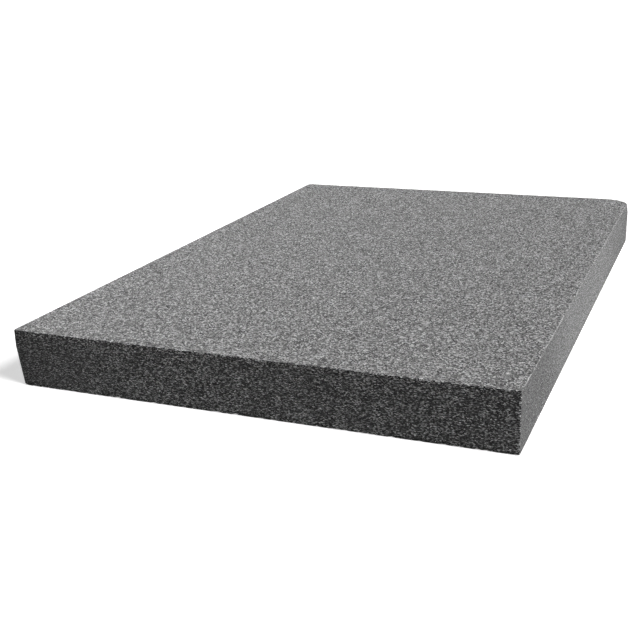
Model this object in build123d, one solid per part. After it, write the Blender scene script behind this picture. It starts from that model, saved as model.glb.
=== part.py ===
from build123d import *
import math
import os

# Polyethylene foam sheet: one slab of closed-cell foam, knife-cut on all six sides, worn by handling.
# Millimetres, +Z up. X runs along the short front edge, Y along the long side, away from the front.
# The origin is the middle of the broad face that the sheet lies on.

# The sheet as it was cut from the plank.
sheet_width = 400.0
sheet_length = 600.0
sheet_thickness = 46.0

# Radii of the four upright corners, seen from above.
front_left_radius = 2.0
front_right_radius = 1.2
back_left_radius = 3.0
back_right_radius = 11.0

# The knife leaves the edges round the two broad faces almost sharp.
edge_radius = 0.8

# The front left corner is rubbed away at its foot: its radius grows from the height where the wear
# fades out down to the lower face.
rubbed_foot_radius = 10.0
rubbed_foot_height = 32.0

# The back right corner is knocked round at its top: its radius grows from the depth where the wear
# fades out up to the upper face.
knocked_top_radius = 26.0
knocked_top_depth = 12.0

# Nicks torn out of the lower edges are round hollows: their width along the edge, and how far the
# deepest of them reaches in under the sheet and up its side.
nick_width = 5.5
nick_depth = 4.4
nick_height = 2.0

# Each nick: its place along the edge, and its depth and height out of the deepest one's.
# Along the front edge from its left end, and along the right edge from its front end.
front_nick_shares = ((0.23, 1.0), (0.44, 0.55), (0.93, 0.45))
right_nick_shares = ((0.085, 0.5), (0.62, 0.4))

# How far a cutting shape runs past the faces that it cuts.
cut_overrun = 2.0

LEFT = FRONT = -1
RIGHT = BACK = 1
SIDE_ALIGN = {LEFT: Align.MAX, RIGHT: Align.MIN}


def corner_place(side_x, side_y, inset, height):
    """A point at that height, set in from a sharp upright corner by the same inset from both sides."""
    return Pos(side_x * (sheet_width / 2 - inset), side_y * (sheet_length / 2 - inset), height)


def outline():
    """The sheet seen from above, with a radius of its own at each corner."""
    shape = Rectangle(sheet_width, sheet_length)
    for side_x, side_y, radius in (
        (LEFT, FRONT, front_left_radius),
        (RIGHT, FRONT, front_right_radius),
        (LEFT, BACK, back_left_radius),
        (RIGHT, BACK, back_right_radius),
    ):
        sharp_corner = corner_place(side_x, side_y, 0, 0).position
        shape = fillet(shape.vertices().sort_by_distance(sharp_corner)[0], radius)
    return shape


def outside_corner(side_x, side_y, radius, height):
    """The flat area that a corner of that radius leaves outside it, out to past the sheet's sides."""
    side = radius + cut_overrun
    square = Rectangle(side, side, align=(SIDE_ALIGN[side_x], SIDE_ALIGN[side_y]))
    return corner_place(side_x, side_y, radius, height) * (square - Circle(radius))


def corner_wear(side_x, side_y, corner_radius, fade_height, face_radius, face_height):
    """What wear takes off an upright corner.

    The corner keeps its radius at fade_height, and has face_radius at the broad face at face_height.
    """
    growth = (face_radius - corner_radius) / abs(face_height - fade_height)
    past_face = cut_overrun if face_height > fade_height else -cut_overrun
    wide_end = outside_corner(side_x, side_y, face_radius + growth * cut_overrun, face_height + past_face)
    narrow_end = outside_corner(side_x, side_y, corner_radius, fade_height)
    return loft([wide_end, narrow_end], ruled=True)


def nick(edge_point, side_direction, depth_share):
    """A round hollow on a lower edge; side_direction points level, away from the sheet.

    The ball that cuts it meets the edge at both ends of the nick, the lower face at its depth and the
    side at its height.
    """
    half_width = nick_width / 2
    depth = nick_depth * depth_share
    height = nick_height * depth_share
    outward = (half_width**2 - depth**2) / (2 * depth)
    downward = (half_width**2 - height**2) / (2 * height)
    ball = Sphere(math.hypot(half_width, outward, downward))
    return Pos(edge_point + side_direction * outward - Axis.Z.direction * downward) * ball


def lower_edge_nicks():
    """The nicks along the front and right lower edges."""
    front_left = corner_place(LEFT, FRONT, 0, 0).position
    front_right = corner_place(RIGHT, FRONT, 0, 0).position
    across = Axis.X.direction
    along = Axis.Y.direction
    nicks = [
        nick(front_left + across * sheet_width * place_share, -along, depth_share)
        for place_share, depth_share in front_nick_shares
    ]
    nicks += [
        nick(front_right + along * sheet_length * place_share, across, depth_share)
        for place_share, depth_share in right_nick_shares
    ]
    return nicks


def foam_sheet():
    """The whole sheet: the cut slab, its two worn corners, its eased edges and its nicks."""
    sheet = extrude(outline(), sheet_thickness)
    sheet -= corner_wear(LEFT, FRONT, front_left_radius, rubbed_foot_height, rubbed_foot_radius, 0)
    knocked_foot = sheet_thickness - knocked_top_depth
    sheet -= corner_wear(RIGHT, BACK, back_right_radius, knocked_foot, knocked_top_radius, sheet_thickness)
    sheet = fillet(sheet.faces().filter_by(Axis.Z).edges(), edge_radius)
    return sheet - lower_edge_nicks()


os.makedirs("parts", exist_ok=True)
export_step(foam_sheet(), "parts/foam_sheet.step")
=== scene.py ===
import math
import random

import bmesh
import bpy
from bpy.props import FloatProperty, FloatVectorProperty, IntProperty, PointerProperty
from mathutils import Matrix, Vector


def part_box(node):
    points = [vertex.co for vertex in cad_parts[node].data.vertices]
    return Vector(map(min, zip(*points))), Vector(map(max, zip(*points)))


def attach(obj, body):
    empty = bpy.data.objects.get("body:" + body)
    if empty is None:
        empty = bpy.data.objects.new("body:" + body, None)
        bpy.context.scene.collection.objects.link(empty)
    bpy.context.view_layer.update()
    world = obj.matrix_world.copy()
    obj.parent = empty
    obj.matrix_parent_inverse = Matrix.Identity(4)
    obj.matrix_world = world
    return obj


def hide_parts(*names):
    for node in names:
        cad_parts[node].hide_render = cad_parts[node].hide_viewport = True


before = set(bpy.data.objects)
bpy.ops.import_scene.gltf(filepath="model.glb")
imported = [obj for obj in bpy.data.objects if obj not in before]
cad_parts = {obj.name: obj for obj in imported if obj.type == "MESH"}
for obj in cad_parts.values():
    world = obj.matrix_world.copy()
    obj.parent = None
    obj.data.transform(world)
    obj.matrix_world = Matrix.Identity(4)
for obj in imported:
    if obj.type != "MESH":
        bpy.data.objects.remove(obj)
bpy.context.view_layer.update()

bl_info = {
    "name": "Foam Sheet",
    "version": (1, 0, 0),
    "blender": (4, 5, 0),
    "location": "View3D > Sidebar > Foam",
    "description": "Models a knife-cut sheet of closed-cell foam on a pale studio floor",
    "category": "Object",
}

SHEET_NODE = "foam_sheet"
SHEET_PIECE = "foam_sheet_cells"
SHEET_BODY = "root"

# The mesh attribute that is 1 at the bottom of an open cell and 0 on the cut walls round it; the finish
# darkens the cell's bottom there with painted shade.
PIT_ATTRIBUTE = "cell_pit"

# The mesh attribute that holds how far the fine cells' brightness is spread on that side.
SPREAD_ATTRIBUTE = "tone_spread"

# The mesh attribute that holds the brightness of that part of a side, out of the broad sides': painted light
# and shade on the long sides and the right side's upper edge, and a darker left end on the front side.
TONE_AND_LIGHT_ATTRIBUTE = "side_tone"

# The mesh attribute that says how deep a cell is to be, and on which sides of the sheet.
DEPTH_STEP = "depth_step"

# The sheet's axes: along its short front edge, along its long sides and up through its thickness.
X_AXIS, Y_AXIS, Z_AXIS = range(3)
AXES = (X_AXIS, Y_AXIS, Z_AXIS)

# The random draws, in order; each has a seed of its own.
WANDER_DRAW, SCATTER_DRAW, TEAR_DRAW, MERGE_DRAW, DEPTH_DRAW, WALL_DRAW = range(6)

# The most segments that one subdivide call is asked for.
MOST_SEGMENTS = 100

# How often and how strongly the wandering rows are smoothed, so that neighbours wander together.
WANDER_SMOOTHING = 4
WANDER_SMOOTHING_FACTOR = 0.5

# A direction lies along an axis if this much of its length does.
ALONG_SHARE = 0.99

# A face belongs to an eased edge if its normal leans at least this much to both of the edge's sides.
EASED_SHARE = 0.2

# Faces that meet at more than this angle make one of the block's edges; so many strips ease it.
BLOCK_EDGE_ANGLE = math.radians(60)
EASE_STRIPS = 2

# Faces that meet at less than this angle are shaded as one smooth surface.
SMOOTH_ANGLE = math.radians(40)

# Distance from the middle of a fine cell's wall, out of the cell width: where the wall's light rim starts and
# ends, past which the hollow is darkened with painted shade, and where the cell's bowl is deepest.
RIM_START = 0.02
RIM_END = 0.22
BOWL_END = 0.4

# The faint mottle over many cells: its fineness, the part of the noise that is used, and its shades.
MOTTLE_SCALE = 45.0
MOTTLE_DETAIL = 3.0
MOTTLE_NOISE = (0.3, 0.7)
MOTTLE_SHADES = (0.95, 1.05)

# The dull gloss of the cell walls.
ROUGHNESS_RANGE = (0.5, 0.85)
SPECULAR_LEVEL = 0.2


class FoamSheetSettings(bpy.types.PropertyGroup):
    """Sizes and colours of the foam sheet."""

    cell_pitch: FloatProperty(
        name="Cell Pitch", description="Width of one cut cell on the upper face and along the sides",
        default=0.00286, min=0.001, unit="LENGTH")
    cell_flatness: FloatProperty(
        name="Cell Flatness", description="Width of one cut cell on the sides, out of its height",
        default=1.49, min=1.0, max=3.0)
    edge_ease: FloatProperty(
        name="Edge Ease", description="Width of the eased strip along every cut edge",
        default=0.0008, min=0.0001, unit="LENGTH")
    row_wander: FloatProperty(
        name="Row Wander", description="How far the rows of cells are drawn aside before they are smoothed",
        default=0.006, min=0.0, unit="LENGTH")
    cell_scatter: FloatProperty(
        name="Cell Scatter", description="How far a cell's corners may stray from their row",
        default=0.00125, min=0.0, unit="LENGTH")
    scatter_evenness: FloatProperty(
        name="Scatter Evenness", description="How much of the scatter every corner has at least",
        default=0.7, min=0.0, max=1.0, subtype="FACTOR")
    edge_tear: FloatProperty(
        name="Edge Tear", description="How far the lower front edge is torn in from a clean line",
        default=0.0018, min=0.0, unit="LENGTH")
    torn_strip: FloatProperty(
        name="Torn Strip", description="How far behind the front side the torn edge and its nicks reach",
        default=0.005, min=0.0, unit="LENGTH")
    merged_share: FloatProperty(
        name="Merged Cells", description="Chance that the wall between two whole cells is missing",
        default=0.12, min=0.0, max=0.5, subtype="FACTOR")
    shallow_depth: FloatProperty(
        name="Shallow Depth", description="Depth of the shallowest open cells",
        default=0.00015, min=0.0, unit="LENGTH")
    deep_depth: FloatProperty(
        name="Deep Depth", description="Depth of the deepest open cells",
        default=0.0006, min=0.0, unit="LENGTH")
    depth_steps: IntProperty(
        name="Depth Steps", description="Number of different cell depths", default=5, min=2)
    short_side_share: FloatProperty(
        name="Short Side Depth", description="Cell depth on the rough short sides, out of the upper side's",
        default=0.5, min=0.0, max=2.0, subtype="FACTOR")
    long_side_share: FloatProperty(
        name="Long Side Depth", description="Cell depth on the smooth long sides, out of the upper side's",
        default=0.5, min=0.0, max=2.0, subtype="FACTOR")
    wall_scatter: FloatProperty(
        name="Wall Scatter", description="How far the cut walls lie below a level cut",
        default=0.00015, min=0.0, unit="LENGTH")
    seed: IntProperty(name="Seed", description="Start of the random draws", default=11, min=0)
    rim_color: FloatVectorProperty(
        name="Rim", description="Colour of the cut cell walls", subtype="COLOR",
        default=(0.275, 0.275, 0.275), min=0.0, max=1.0)
    # Painted shade: the fine cells' hollows are darker than their light rims.
    hollow_painted_shade_color: FloatVectorProperty(
        name="Wall", description="Colour inside the open cells", subtype="COLOR",
        default=(0.112, 0.112, 0.112), min=0.0, max=1.0)
    # Painted shade: the bottom of every open cell is darkened.
    pit_painted_shade: FloatProperty(
        name="Pit Shade", description="Brightness at the bottom of the open cells, out of their walls'",
        default=0.7, min=0.0, max=1.0, subtype="FACTOR")
    fine_cell_width: FloatProperty(
        name="Fine Cell Width", description="Width of the fine cells inside and between the open ones",
        default=0.0011, min=0.0001, unit="LENGTH")
    fine_cell_flatness: FloatProperty(
        name="Fine Cell Flatness", description="Width of the fine cells, out of their height",
        default=2.8, min=1.0, max=5.0)
    fine_cell_depth: FloatProperty(
        name="Fine Cell Depth", description="Depth of the fine cells",
        default=0.00035, min=0.0, unit="LENGTH")
    upper_side_spread: FloatProperty(
        name="Upper Side Spread",
        description="How far the fine cells' brightness is spread on the broad sides",
        default=1.5, min=0.1)
    short_side_spread: FloatProperty(
        name="Short Side Spread", description="The same on the rough short sides", default=3.7, min=0.1)
    long_side_spread: FloatProperty(
        name="Long Side Spread", description="The same on the smooth long sides", default=1.3, min=0.1)
    # Painted light: both long sides are made lighter than the broad sides.
    long_side_painted_light: FloatProperty(
        name="Smooth Shade", description="Brightness of the smooth long sides, out of the broad sides'",
        default=1.26, min=0.0, max=2.0, subtype="FACTOR")
    # Painted shade: the right side is darker at its front end, fading out towards its middle.
    near_end_painted_shade: FloatProperty(
        name="Handled Shade",
        description="Brightness of the right side's handled front end, out of its middle's",
        default=0.58, min=0.0, max=1.0, subtype="FACTOR")
    near_end_shade_length: FloatProperty(
        name="Handled Length", description="Length of the right side's handled front end",
        default=0.07, min=0.0, unit="LENGTH")
    near_end_shade_fade: FloatProperty(
        name="Handled Fade", description="Length over which the handled end fades out",
        default=0.115, min=0.001, unit="LENGTH")
    # Painted shade: the right side is darker towards its back end, where its rounded corner turns away.
    far_end_painted_shade: FloatProperty(
        name="Knocked Shade",
        description="Brightness of the right side's knocked back end, out of its middle's",
        default=0.60, min=0.0, max=1.0, subtype="FACTOR")
    far_end_shade_fade: FloatProperty(
        name="Knocked Fade", description="Length over which the knocked end's shade fades out",
        default=0.21, min=0.001, unit="LENGTH")
    # Painted highlight: a light line along the right side's eased upper edge.
    edge_painted_highlight: FloatProperty(
        name="Edge Shade", description="Brightness of the right side's eased upper edge, a light line",
        default=1.25, min=0.0, max=3.0, subtype="FACTOR")
    # The front side is darker towards its left end.
    front_left_darkening: FloatProperty(
        name="Rubbed Shade",
        description="Brightness of the front side's rubbed left end, out of its middle's",
        default=0.50, min=0.0, max=1.0, subtype="FACTOR")
    front_left_fade: FloatProperty(
        name="Rubbed Fade", description="Length over which the rubbed end's shade fades out",
        default=0.11, min=0.001, unit="LENGTH")
    # Painted glints: a few fine cells get a light colour in place of glints off glossy cell walls.
    painted_glint_color: FloatVectorProperty(
        name="Fleck", description="Colour of the few cells that are closed by a light skin",
        subtype="COLOR", default=(0.55, 0.55, 0.55), min=0.0, max=1.0)
    painted_glint_share: FloatProperty(
        name="Fleck Share", description="Share of the fine cells that are flecks",
        default=0.025, min=0.0, max=1.0, subtype="FACTOR")


class FoamStudioSettings(bpy.types.PropertyGroup):
    """Camera, light and floor round the foam sheet."""

    camera_place: FloatVectorProperty(
        name="Camera Place", description="Where the camera stands", subtype="TRANSLATION", unit="LENGTH",
        default=(0.31745, -0.91144, 0.30354))
    camera_turn: FloatProperty(
        name="Camera Turn", description="How far the camera is turned to the left of straight ahead",
        default=math.radians(22.750), subtype="ANGLE")
    camera_down: FloatProperty(
        name="Camera Down", description="How far the camera looks below the horizon",
        default=math.radians(18.616), subtype="ANGLE")
    camera_roll: FloatProperty(
        name="Camera Roll", description="How far the camera is tipped to its right",
        default=math.radians(1.763), subtype="ANGLE")
    lens: FloatProperty(
        name="Lens", description="Focal length on a 36 mm sensor", default=57.90, unit="CAMERA")
    key_direction: FloatVectorProperty(
        name="Key Direction", description="Direction from the sheet to the key light", subtype="DIRECTION",
        default=(0.76, -0.10, 0.642))
    key_strength: FloatProperty(
        name="Key Strength", description="Strength of the key light", default=5.0, min=0.0)
    back_direction: FloatVectorProperty(
        name="Back Direction", description="Direction from the sheet to the back light",
        subtype="DIRECTION", default=(-0.69, 0.69, 0.22))
    back_strength: FloatProperty(
        name="Back Strength",
        description="Strength of the back light on the sides turned from the key light",
        default=1.1, min=0.0)
    light_width: FloatProperty(
        name="Light Width", description="Apparent width of both lights, which softens the shadows",
        default=math.radians(30), subtype="ANGLE")
    fill_strength: FloatProperty(
        name="Fill Strength", description="Strength of the even light from all round",
        default=0.045, min=0.0)
    floor_size: FloatProperty(
        name="Floor Size", description="Side of the square floor", default=40.0, unit="LENGTH")
    floor_gap: FloatProperty(
        name="Floor Gap", description="How far the floor lies below the sheet",
        default=0.0002, unit="LENGTH")
    floor_bounce: FloatProperty(
        name="Floor Bounce", description="Share of its light that the floor throws back on the sheet",
        default=0.03, min=0.0, max=1.0, subtype="FACTOR")
    floor_color: FloatVectorProperty(
        name="Floor", description="Colour of the floor as the camera sees it", subtype="COLOR",
        default=(0.80, 0.80, 0.80), min=0.0, max=1.0)
    floor_glow: FloatProperty(
        name="Floor Glow", description="Lifts the floor to white, as the camera sees it",
        default=0.55, min=0.0)


def deselect_all():
    """Leaves nothing selected, so that an operator acts on the new piece alone."""
    if bpy.context.mode != "OBJECT":
        bpy.ops.object.mode_set(mode="OBJECT")
    bpy.ops.object.select_all(action="DESELECT")


def select_parts(mesh, kind, test):
    """In edit mode, selects the verts, edges or faces of the mesh that pass the test, and no others."""
    modes = {"verts": "VERT", "edges": "EDGE", "faces": "FACE"}
    bpy.ops.mesh.select_mode(type=modes[kind])
    bpy.ops.mesh.select_all(action="DESELECT")
    bm = bmesh.from_edit_mesh(mesh)
    for part in getattr(bm, kind):
        if test(part):
            part.select_set(True)
    bm.select_flush_mode()
    bmesh.update_edit_mesh(mesh)


def lies_along(direction, axis):
    """True if that direction lies along the axis."""
    return abs(direction.normalized()[axis]) > ALONG_SHARE


def main_axis(direction):
    """The axis that the direction comes nearest to."""
    return max(AXES, key=lambda axis: abs(direction[axis]))


def edge_direction(edge):
    """The direction from the edge's first end to its second."""
    return edge.verts[1].co - edge.verts[0].co


def is_square_on(face):
    """True for a face that lies flat on one of the sheet's six sides."""
    return any(lies_along(face.normal, axis) for axis in AXES)


def is_under(face):
    """True for a face of the broad lower side."""
    return face.normal.z < -ALONG_SHARE


def is_open_side(face):
    """True for a face of the upper side or of the four narrow sides."""
    return is_square_on(face) and not is_under(face)


def is_whole_cell(face):
    """True for a cell of an open side that isn't divided into triangles yet."""
    return is_open_side(face) and len(face.verts) > 3


def cut_along(mesh, axis, segments):
    """Divides every edge along that axis into so many equal segments."""
    while segments > 1:
        step = next(n for n in range(min(segments, MOST_SEGMENTS), 0, -1) if segments % n == 0)
        select_parts(mesh, "edges", lambda edge: lies_along(edge_direction(edge), axis))
        bpy.ops.mesh.subdivide(number_cuts=step - 1)
        segments //= step


def wrap_on_solid(piece, mode):
    """Brings the mesh onto the CAD solid's surface, or only what lies outside it back inside."""
    wrap = piece.modifiers.new("Form", "SHRINKWRAP")
    wrap.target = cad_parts[SHEET_NODE]
    wrap.wrap_method = "NEAREST_SURFACEPOINT"
    wrap.wrap_mode = mode
    bpy.ops.object.modifier_apply(modifier=wrap.name)


def add_block(settings):
    """A plain block of the sheet's size, stretched upwards until the cells on its sides are square."""
    low, high = (Vector(corner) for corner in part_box(SHEET_NODE))
    stretch = Vector((1.0, 1.0, settings.cell_flatness))
    size = (high - low) * stretch
    deselect_all()
    bpy.ops.mesh.primitive_cube_add(size=1.0, location=(low + high) / 2 * stretch, scale=size)
    block = bpy.context.object
    block.name = SHEET_PIECE
    block.data.name = SHEET_PIECE
    bpy.ops.object.transform_apply(location=True, rotation=True, scale=True)
    return block, size


def press_flat(block, settings):
    """Presses the stretched block to the sheet's thickness, and the cells on its sides with it."""
    block.scale.z = 1 / settings.cell_flatness
    bpy.ops.object.transform_apply(location=True, rotation=True, scale=True)


def cut_rows(mesh, size, settings):
    """Rows of cells all round: double-size ones, halved everywhere but on the lower side."""
    for axis in AXES:
        cut_along(mesh, axis, round(size[axis] / settings.cell_pitch / 2))
    select_parts(mesh, "edges", lambda edge: not all(is_under(face) for face in edge.link_faces))
    bpy.ops.mesh.subdivide(number_cuts=1)


def ease_edges(mesh, settings):
    """Narrow strips along every edge of the block, for the cut edges' small radius."""
    select_parts(mesh, "edges", lambda edge: edge.calc_face_angle(0) > BLOCK_EDGE_ANGLE)
    bpy.ops.mesh.bevel(offset=settings.edge_ease, segments=EASE_STRIPS, affect="EDGES")


def is_on_edge(vert):
    """True for a corner of a cell on one of the sheet's eased edges, worn corners or nicks."""
    return not all(is_square_on(face) for face in vert.link_faces)


def scatter_rows(mesh, settings):
    """Breaks the even rows: they wander, and each cell's corners stray."""
    select_parts(mesh, "verts", lambda vert: not is_on_edge(vert))
    bpy.ops.transform.vertex_random(offset=settings.row_wander, seed=settings.seed + WANDER_DRAW)
    bpy.ops.mesh.vertices_smooth(factor=WANDER_SMOOTHING_FACTOR, repeat=WANDER_SMOOTHING)
    bpy.ops.transform.vertex_random(
        offset=settings.cell_scatter, uniform=settings.scatter_evenness, seed=settings.seed + SCATTER_DRAW)


def tear_edges(mesh, settings):
    """Moves the lower front edge in and out; what then lies outside the solid is brought back later."""
    low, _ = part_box(SHEET_NODE)
    strip_end = low[Y_AXIS] + settings.torn_strip

    def is_torn(vert):
        return is_on_edge(vert) and vert.co.z < settings.edge_ease and vert.co.y < strip_end

    select_parts(mesh, "verts", is_torn)
    bpy.ops.transform.vertex_random(offset=settings.edge_tear, normal=1.0, seed=settings.seed + TEAR_DRAW)


def press_front(mesh):
    """Presses what still stands out by the nicks' rims back onto the plane of the front side."""
    low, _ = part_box(SHEET_NODE)
    front = low[Y_AXIS]
    select_parts(mesh, "verts", lambda vert: vert.co.y < front)
    bpy.ops.transform.resize(value=(1.0, 0.0, 1.0), center_override=(0.0, front, 0.0))


def merge_cells(mesh, settings):
    """Takes out some of the walls between neighbouring cells, so that they run together in pairs."""
    draw = random.Random(settings.seed + MERGE_DRAW)
    paired = set()

    def is_missing(wall):
        cells = set(wall.link_faces)
        if cells & paired or not all(is_whole_cell(cell) for cell in cells):
            return False
        if draw.random() >= settings.merged_share:
            return False
        paired.update(cells)
        return True

    select_parts(mesh, "edges", is_missing)
    bpy.ops.mesh.dissolve_edges(use_verts=False)


def is_highlight_edge(face):
    """True for a face of the right side's eased upper edge, which gets a painted highlight."""
    normal = face.normal
    return min(normal.x, normal.z) > EASED_SHARE and abs(normal.y) < EASED_SHARE


def faded(shade, distance, length):
    """The shade at an end of a side, which fades to 1 over that length from the end."""
    return shade + (1.0 - shade) * min(max(distance / length, 0.0), 1.0)


def side_tone(face, low, high, settings):
    """Brightness of that face: painted light makes the long sides lighter and the right side's eased upper
    edge a light line, painted shade darkens the right side's ends, and the front side is darker towards its
    left end.
    """
    from_front_left = face.calc_center_median() - low
    from_back_right = high - face.calc_center_median()
    axis = main_axis(face.normal)
    # Painted highlight on the right side's eased upper edge.
    if is_highlight_edge(face):
        return settings.edge_painted_highlight
    # The front side, darker towards its left end.
    if axis == Y_AXIS and face.normal.y < 0.0:
        return faded(settings.front_left_darkening, from_front_left.x, settings.front_left_fade)
    if axis == X_AXIS and face.normal.x > 0.0:
        # Painted light over the whole right side, and painted shade towards its front and back ends.
        near_end_shade = faded(
            settings.near_end_painted_shade, from_front_left.y - settings.near_end_shade_length, settings.near_end_shade_fade)
        far_end_shade = faded(settings.far_end_painted_shade, from_back_right.y, settings.far_end_shade_fade)
        return settings.long_side_painted_light * near_end_shade * far_end_shade
    # Painted light on the left long side too.
    return settings.long_side_painted_light if axis == X_AXIS else 1.0


def mark_sides(mesh, settings):
    """Writes on every face what the finish has to know of the side that it lies on: the spread of its fine
    cells' brightness, and its painted light and shade.
    """
    spreads = (settings.long_side_spread, settings.short_side_spread, settings.upper_side_spread)
    low, high = (Vector(corner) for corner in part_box(SHEET_NODE))
    bm = bmesh.from_edit_mesh(mesh)
    for name in (SPREAD_ATTRIBUTE, TONE_AND_LIGHT_ATTRIBUTE):
        bm.faces.layers.float.new(name)
    spread_of = bm.faces.layers.float[SPREAD_ATTRIBUTE]
    tone_of = bm.faces.layers.float[TONE_AND_LIGHT_ATTRIBUTE]
    for face in bm.faces:
        face[spread_of] = spreads[main_axis(face.normal)]
        face[tone_of] = side_tone(face, low, high, settings)
    bmesh.update_edit_mesh(mesh)


def sink_cells(mesh, settings):
    """Sinks the middle of every cell, each to one of a few depths."""
    draw = random.Random(settings.seed + DEPTH_DRAW)
    steps = settings.depth_steps
    side_shares = (settings.long_side_share, settings.short_side_share, 1.0)
    bm = bmesh.from_edit_mesh(mesh)
    step_of = bm.faces.layers.int.new(DEPTH_STEP)
    for face in bm.faces:
        if is_whole_cell(face):
            face[step_of] = draw.randint(1, steps) + steps * main_axis(face.normal)
    bmesh.update_edit_mesh(mesh)
    for step in range(1, len(AXES) * steps + 1):
        axis, depth_step = divmod(step - 1, steps)
        depth_share = depth_step / (steps - 1)
        depth = settings.shallow_depth + depth_share * (settings.deep_depth - settings.shallow_depth)
        step_of = bmesh.from_edit_mesh(mesh).faces.layers.int[DEPTH_STEP]
        select_parts(mesh, "faces", lambda face: face[step_of] == step and is_whole_cell(face))
        bpy.ops.mesh.poke(offset=-depth * side_shares[axis])


def model_sheet(settings):
    """The sheet's whole surface with its open cells, in the form of the CAD solid."""
    sheet, size = add_block(settings)
    mesh = sheet.data
    bpy.ops.object.mode_set(mode="EDIT")
    cut_rows(mesh, size, settings)
    ease_edges(mesh, settings)
    scatter_rows(mesh, settings)
    bpy.ops.object.mode_set(mode="OBJECT")
    press_flat(sheet, settings)
    wrap_on_solid(sheet, "ON_SURFACE")
    bpy.ops.object.mode_set(mode="EDIT")
    tear_edges(mesh, settings)
    merge_cells(mesh, settings)
    mark_sides(mesh, settings)
    wall_count = len(bmesh.from_edit_mesh(mesh).verts)
    sink_cells(mesh, settings)
    bpy.ops.mesh.select_all(action="SELECT")
    bpy.ops.transform.vertex_random(offset=settings.wall_scatter, normal=1.0, seed=settings.seed + WALL_DRAW)
    bpy.ops.mesh.normals_make_consistent(inside=False)
    bpy.ops.object.mode_set(mode="OBJECT")
    wrap_on_solid(sheet, "INSIDE")
    bpy.ops.object.mode_set(mode="EDIT")
    press_front(mesh)
    bpy.ops.object.mode_set(mode="OBJECT")
    pit = mesh.attributes.new(PIT_ATTRIBUTE, "FLOAT", "POINT")
    pit.data.foreach_set("value", [float(index >= wall_count) for index in range(len(mesh.vertices))])
    mesh.attributes.remove(mesh.attributes[DEPTH_STEP])
    bpy.ops.object.shade_smooth_by_angle(angle=SMOOTH_ANGLE)
    return sheet


class NodeSheet:
    """Adds and links shader nodes, so that a material reads from its inputs to its output."""

    def __init__(self, tree):
        self.tree = tree
        tree.nodes.clear()

    def add(self, kind, inputs=None, **values):
        """A node with those values; inputs maps a socket's name or place to a value or another socket."""
        node = self.tree.nodes.new(kind)
        for key, value in values.items():
            setattr(node, key, value)
        for key, value in (inputs or {}).items():
            if isinstance(value, bpy.types.NodeSocket):
                self.tree.links.new(value, node.inputs[key])
            else:
                node.inputs[key].default_value = value
        return node

    def math(self, operation, *terms):
        """The result of a sum on two or three numbers or sockets."""
        return self.add("ShaderNodeMath", dict(enumerate(terms)), operation=operation).outputs[0]

    def remap(self, value, from_low, from_high, to_low, to_high):
        """The value, stretched from one range to another and kept inside it."""
        node = self.add("ShaderNodeMapRange", {
            "Value": value, "From Min": from_low, "From Max": from_high, "To Min": to_low, "To Max": to_high})
        return node.outputs["Result"]

    def mix(self, blend, factor, first, second):
        """The second colour over the first, by that blend."""
        node = self.add("ShaderNodeMixRGB", {"Fac": factor, 1: first, 2: second}, blend_type=blend)
        return node.outputs["Color"]

    def attribute(self, name):
        """The number that the mesh holds under that name."""
        return self.add("ShaderNodeAttribute", attribute_name=name).outputs["Fac"]


def cell_tone(sheet, draw):
    """Brightness of each fine cell: widely spread on the rough sides, with the same mean on all of them."""
    spread = sheet.attribute(SPREAD_ATTRIBUTE)
    power = sheet.math("MULTIPLY", spread, sheet.remap(draw, 0.0, 1.0, -1.0, 1.0))
    mean = sheet.math("DIVIDE", sheet.math("SINH", spread), spread)
    return sheet.math("DIVIDE", sheet.math("EXPONENT", power), mean)


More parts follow.
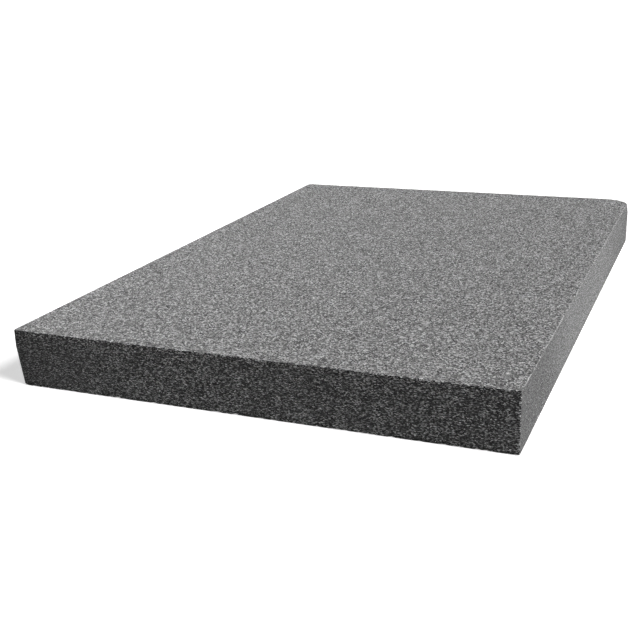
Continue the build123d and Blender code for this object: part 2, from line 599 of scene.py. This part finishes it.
def foam_material(settings):
    """Charcoal foam: light cut walls, open cells darkened with painted shade, fine cells as bump, painted
    glints, painted light and shade by side, a dull gloss.
    """
    material = bpy.data.materials.new("charcoal_foam")
    material.use_nodes = True
    sheet = NodeSheet(material.node_tree)
    place = sheet.add("ShaderNodeTexCoord").outputs["Object"]
    flattening = (1.0, 1.0, settings.fine_cell_flatness)
    fine_cells = {
        "Vector": sheet.add("ShaderNodeMapping", {"Vector": place, "Scale": flattening}).outputs["Vector"],
        "Scale": 1 / settings.fine_cell_width}
    cells = sheet.add("ShaderNodeTexVoronoi", fine_cells)
    walls = sheet.add("ShaderNodeTexVoronoi", fine_cells, feature="DISTANCE_TO_EDGE")
    cell_draw = sheet.add("ShaderNodeSeparateColor", {"Color": cells.outputs["Color"]})
    mottle = sheet.add(
        "ShaderNodeTexNoise", {"Vector": place, "Scale": MOTTLE_SCALE, "Detail": MOTTLE_DETAIL})

    # Painted shade: the fine cells' hollows are darker than their light rims.
    hollow_shade_mix = sheet.remap(walls.outputs["Distance"], RIM_START, RIM_END, 0.0, 1.0)
    color = sheet.mix("MIX", hollow_shade_mix, (*settings.rim_color, 1.0), (*settings.hollow_painted_shade_color, 1.0))
    for tone in (
        cell_tone(sheet, cell_draw.outputs["Red"]),
        # Painted light and shade by side, and the front side's darker left end.
        sheet.attribute(TONE_AND_LIGHT_ATTRIBUTE),
        sheet.remap(mottle.outputs["Fac"], *MOTTLE_NOISE, *MOTTLE_SHADES),
        # Painted shade at the bottom of the open cells.
        sheet.remap(sheet.attribute(PIT_ATTRIBUTE), 0.0, 1.0, 1.0, settings.pit_painted_shade),
    ):
        color = sheet.mix("MULTIPLY", 1.0, color, tone)
    # Painted glints on a few fine cells.
    is_painted_glint = sheet.math("LESS_THAN", cell_draw.outputs["Blue"], settings.painted_glint_share)
    with_painted_glints = sheet.mix("MIX", is_painted_glint, color, (*settings.painted_glint_color, 1.0))
    bowl = sheet.remap(walls.outputs["Distance"], 0.0, BOWL_END, 0.0, 1.0)
    bump_inputs = {"Height": bowl, "Strength": 1.0, "Distance": settings.fine_cell_depth}
    bump = sheet.add("ShaderNodeBump", bump_inputs, invert=True)
    shader = sheet.add("ShaderNodeBsdfPrincipled", {
        "Base Color": with_painted_glints,
        "Roughness": sheet.remap(cell_draw.outputs["Green"], 0.0, 1.0, *ROUGHNESS_RANGE),
        "Specular IOR Level": SPECULAR_LEVEL,
        "Normal": bump.outputs["Normal"]})
    sheet.add("ShaderNodeOutputMaterial", {"Surface": shader.outputs["BSDF"]})
    return material


class FOAM_OT_model_sheet(bpy.types.Operator):
    """Model the foam sheet with its open cells and give it its finish"""

    bl_idname = "foam.model_sheet"
    bl_label = "Model Foam Sheet"
    bl_options = {"REGISTER", "UNDO"}

    def execute(self, context):
        settings = context.scene.foam_sheet
        sheet = model_sheet(settings)
        sheet.data.materials.append(foam_material(settings))
        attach(sheet, SHEET_BODY)
        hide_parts(SHEET_NODE)
        return {"FINISHED"}


def seen_directly(sheet):
    """1 for rays that show the floor or the background itself, 0 for light that they throw back."""
    path = sheet.add("ShaderNodeLightPath").outputs
    mirrored = sheet.math("MAXIMUM", path["Is Glossy Ray"], path["Is Transmission Ray"])
    return sheet.math("MAXIMUM", path["Is Camera Ray"], mirrored)


def floor_material(studio):
    """A pale floor that shows white with the sheet's shadow, and throws little light back."""
    material = bpy.data.materials.new("pale_floor")
    material.use_nodes = True
    sheet = NodeSheet(material.node_tree)
    bounce = sheet.add("ShaderNodeBsdfDiffuse", {"Color": (*[studio.floor_bounce] * 3, 1.0)})
    pale = sheet.add("ShaderNodeBsdfDiffuse", {"Color": (*studio.floor_color, 1.0)})
    glow = sheet.add("ShaderNodeEmission", {"Strength": studio.floor_glow})
    shown = sheet.add("ShaderNodeAddShader", {0: pale.outputs[0], 1: glow.outputs[0]})
    mix = sheet.add(
        "ShaderNodeMixShader", {0: seen_directly(sheet), 1: bounce.outputs[0], 2: shown.outputs[0]})
    sheet.add("ShaderNodeOutputMaterial", {"Surface": mix.outputs[0]})
    return material


def add_floor(studio):
    """The pale floor under the sheet."""
    deselect_all()
    bpy.ops.mesh.primitive_plane_add(size=studio.floor_size, location=(0, 0, -studio.floor_gap))
    floor = bpy.context.object
    floor.name = "pale_floor"
    bpy.ops.object.transform_apply(location=True, rotation=True, scale=True)
    floor.data.materials.append(floor_material(studio))


def add_sun(name, direction, strength, width):
    """A soft light from that direction."""
    direction = Vector(direction)
    bpy.ops.object.light_add(type="SUN", location=direction)
    sun = bpy.context.object
    sun.name = name
    sun.rotation_euler = direction.to_track_quat("Z", "Y").to_euler()
    sun.data.energy = strength
    sun.data.angle = width


def add_light(studio):
    """A soft key light, a weak back light, and an even fill from a world that shows white."""
    add_sun("key_light", studio.key_direction, studio.key_strength, studio.light_width)
    add_sun("back_light", studio.back_direction, studio.back_strength, studio.light_width)
    world = bpy.data.worlds.new("studio_world")
    world.use_nodes = True
    bpy.context.scene.world = world
    sheet = NodeSheet(world.node_tree)
    strength = sheet.remap(seen_directly(sheet), 0.0, 1.0, studio.fill_strength, 1.0)
    background = sheet.add("ShaderNodeBackground", {"Strength": strength})
    background.inputs["Color"].default_value = (1.0, 1.0, 1.0, 1.0)
    sheet.add("ShaderNodeOutputWorld", {"Surface": background.outputs[0]})


def add_camera(studio):
    """The camera at the photograph's place and angle."""
    bpy.ops.object.camera_add(location=studio.camera_place)
    camera = bpy.context.object
    camera.name = "photo_camera"
    turn = Matrix.Rotation(studio.camera_turn, 3, "Z")
    tilt = Matrix.Rotation(math.pi / 2 - studio.camera_down, 3, "X")
    roll = Matrix.Rotation(-studio.camera_roll, 3, "Z")
    camera.rotation_euler = (turn @ tilt @ roll).to_euler()
    camera.data.lens = studio.lens
    bpy.context.scene.camera = camera


class FOAM_OT_set_stage(bpy.types.Operator):
    """Set up the floor, the light and the camera"""

    bl_idname = "foam.set_stage"
    bl_label = "Set Stage"
    bl_options = {"REGISTER", "UNDO"}

    def execute(self, context):
        studio = context.scene.foam_studio
        add_floor(studio)
        add_light(studio)
        add_camera(studio)
        context.scene.view_settings.view_transform = "Standard"
        return {"FINISHED"}


class FOAM_PT_sidebar(bpy.types.Panel):
    """Lists the foam sheet's settings and steps"""

    bl_idname = "FOAM_PT_sidebar"
    bl_label = "Foam Sheet"
    bl_space_type = "VIEW_3D"
    bl_region_type = "UI"
    bl_category = "Foam"

    def draw(self, context):
        for settings, operator in (
            (context.scene.foam_sheet, FOAM_OT_model_sheet),
            (context.scene.foam_studio, FOAM_OT_set_stage),
        ):
            column = self.layout.column()
            for name in settings.bl_rna.properties.keys():
                if name not in ("rna_type", "name"):
                    column.prop(settings, name)
            column.operator(operator.bl_idname)


CLASSES = (FoamSheetSettings, FoamStudioSettings, FOAM_OT_model_sheet, FOAM_OT_set_stage, FOAM_PT_sidebar)


def register():
    for cls in CLASSES:
        bpy.utils.register_class(cls)
    bpy.types.Scene.foam_sheet = PointerProperty(type=FoamSheetSettings)
    bpy.types.Scene.foam_studio = PointerProperty(type=FoamStudioSettings)


def unregister():
    del bpy.types.Scene.foam_studio
    del bpy.types.Scene.foam_sheet
    for cls in reversed(CLASSES):
        bpy.utils.unregister_class(cls)


def main():
    """Builds the whole scene."""
    register()
    bpy.ops.foam.model_sheet()
    bpy.ops.foam.set_stage()


if __name__ == "__main__":
    main()
